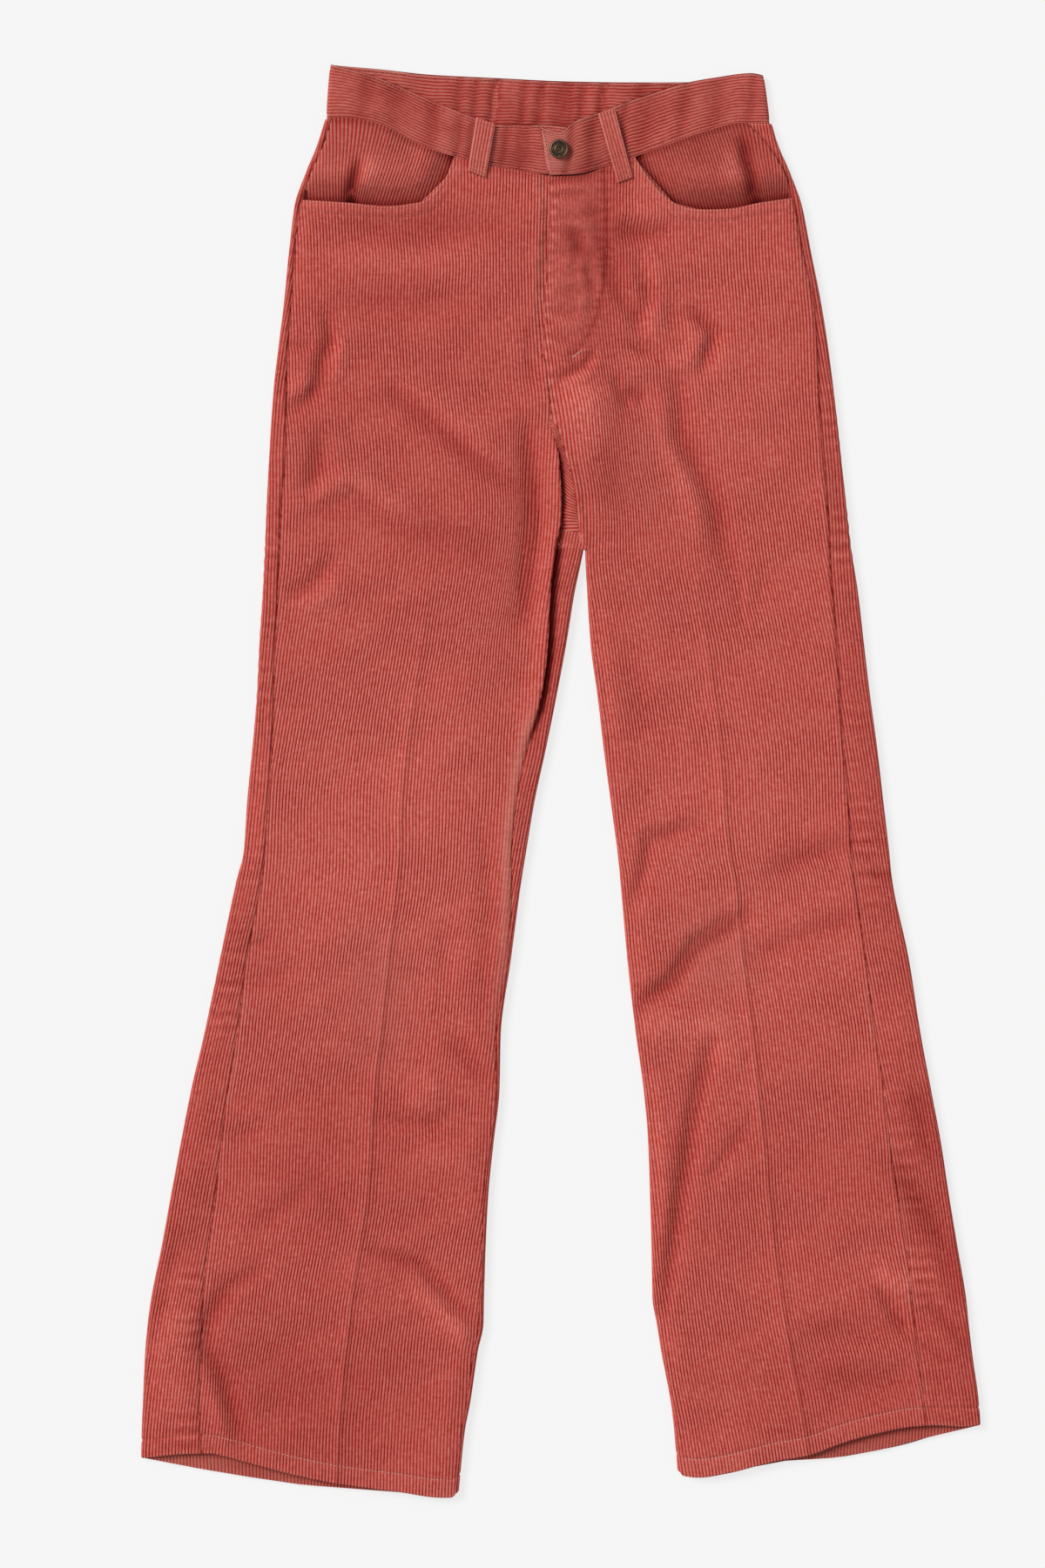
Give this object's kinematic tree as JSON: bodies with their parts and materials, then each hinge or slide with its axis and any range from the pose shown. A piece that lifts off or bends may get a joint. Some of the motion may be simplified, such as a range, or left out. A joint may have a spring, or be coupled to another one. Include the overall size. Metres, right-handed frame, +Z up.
{
  "type": "corduroy trousers",
  "caption": "Flared corduroy trousers laid flat front up, with a lapped waistband, metal button, belt loops, curved front pockets, pressed creases and turned hems.",
  "frame": {"origin": "on the table, under the middle of the box round the laid garment", "axes": "+X to the wearer's left, +Y towards the waist, +Z up off the table; the front of the garment faces +Z"},
  "size_m": [0.602, 1.027, 0.0122],
  "materials": {
    "corduroy": "coral cotton corduroy, worn lighter along its edges",
    "button_brass": "antique brass, dull"
  },
  "bodies": {
    "root": {"front_right": "corduroy", "front_left": "corduroy", "back_right": "corduroy", "back_left": "corduroy", "waistband": "corduroy", "pocket_facing_right": "corduroy", "pocket_facing_left": "corduroy", "belt_loop_right": "corduroy", "belt_loop_left": "corduroy", "button": "button_brass"}
  },
  "joints": []
}
